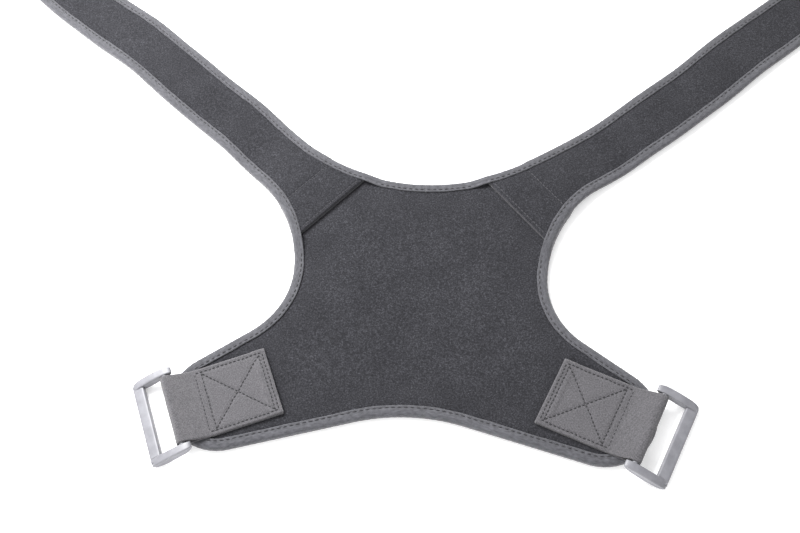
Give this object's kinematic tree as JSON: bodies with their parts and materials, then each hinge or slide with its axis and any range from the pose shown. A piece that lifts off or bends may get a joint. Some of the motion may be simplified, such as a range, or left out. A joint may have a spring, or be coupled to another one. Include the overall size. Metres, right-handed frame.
{
  "type": "breastplate",
  "caption": "Padded fabric breastplate with a waisted panel, two shoulder straps that end in hook tape, and a rectangular ring on a webbing tab at each lower lobe.",
  "frame": {"origin": "centre of the back lining, at the level of the panel's waist, on the face that lies on the table", "axes": "+X to the object's right as seen from the front, +Y up the panel towards the neck and straps, +Z out of the front"},
  "size_m": [0.8292, 0.516, 0.0138],
  "materials": {
    "loop_fabric": "matt charcoal brushed loop pile",
    "lining_knit": "smooth matt knit",
    "foam": "closed-cell foam, hidden",
    "binding_tape": "matt woven tape with a slight sheen",
    "webbing": "matt ribbed webbing",
    "ring_plastic": "satin moulded grey",
    "hook_tape": "stiff moulded hooks"
  },
  "bodies": {
    "panel": {"panel_lining": "lining_knit", "panel_foam": "foam", "panel_face": "loop_fabric", "neck_binding": "binding_tape", "left_side_binding": "binding_tape", "right_side_binding": "binding_tape", "bottom_binding": "binding_tape", "left_strap_root": "loop_fabric", "right_strap_root": "loop_fabric", "left_tab": "webbing", "right_tab": "webbing"},
    "left_strap": {"left_strap": "loop_fabric", "left_strap_upper_binding": "binding_tape", "left_strap_lower_binding": "binding_tape"},
    "left_strap_end": {"left_strap_end": "loop_fabric", "left_end_binding": "binding_tape", "left_hook_tape": "hook_tape"},
    "left_tab_loop": {"left_tab_loop": "webbing"},
    "left_ring": {"left_ring": "ring_plastic"},
    "right_strap": {"right_strap": "loop_fabric", "right_strap_upper_binding": "binding_tape", "right_strap_lower_binding": "binding_tape"},
    "right_strap_end": {"right_strap_end": "loop_fabric", "right_end_binding": "binding_tape", "right_hook_tape": "hook_tape"},
    "right_tab_loop": {"right_tab_loop": "webbing"},
    "right_ring": {"right_ring": "ring_plastic"}
  },
  "joints": [
    {"name": "left_strap_fold", "type": "hinge", "parent": "panel", "child": "left_strap", "pos_m": [-0.09015, 0.08056, 0.0094], "axis": [0.66, 0.7513, 0], "range_deg": [-85, 170]},
    {"name": "left_end_fold", "type": "hinge", "parent": "left_strap", "child": "left_strap_end", "pos_m": [-0.31553, 0.27856, 0.0052], "axis": [0.66, 0.7513, 0], "range_deg": [-80, 170]},
    {"name": "left_loop_fold", "type": "hinge", "parent": "panel", "child": "left_tab_loop", "pos_m": [-0.13716, -0.10212, 0.0082], "axis": [-0.3811, 0.9245, 0], "range_deg": [0, 60]},
    {"name": "left_ring_swing", "type": "hinge", "parent": "left_tab_loop", "child": "left_ring", "pos_m": [-0.15408, -0.10909, 0.0101], "axis": [-0.3811, 0.9245, 0], "range_deg": [-65, 165]},
    {"name": "right_strap_fold", "type": "hinge", "parent": "panel", "child": "right_strap", "pos_m": [0.09015, 0.08056, 0.0094], "axis": [0.66, -0.7513, 0], "range_deg": [-85, 158]},
    {"name": "right_end_fold", "type": "hinge", "parent": "right_strap", "child": "right_strap_end", "pos_m": [0.31553, 0.27856, 0.0052], "axis": [0.66, -0.7513, 0], "range_deg": [-80, 170]},
    {"name": "right_loop_fold", "type": "hinge", "parent": "panel", "child": "right_tab_loop", "pos_m": [0.13716, -0.10212, 0.0082], "axis": [-0.3811, -0.9245, 0], "range_deg": [0, 60]},
    {"name": "right_ring_swing", "type": "hinge", "parent": "right_tab_loop", "child": "right_ring", "pos_m": [0.15408, -0.10909, 0.0101], "axis": [-0.3811, -0.9245, 0], "range_deg": [-65, 165]}
  ]
}
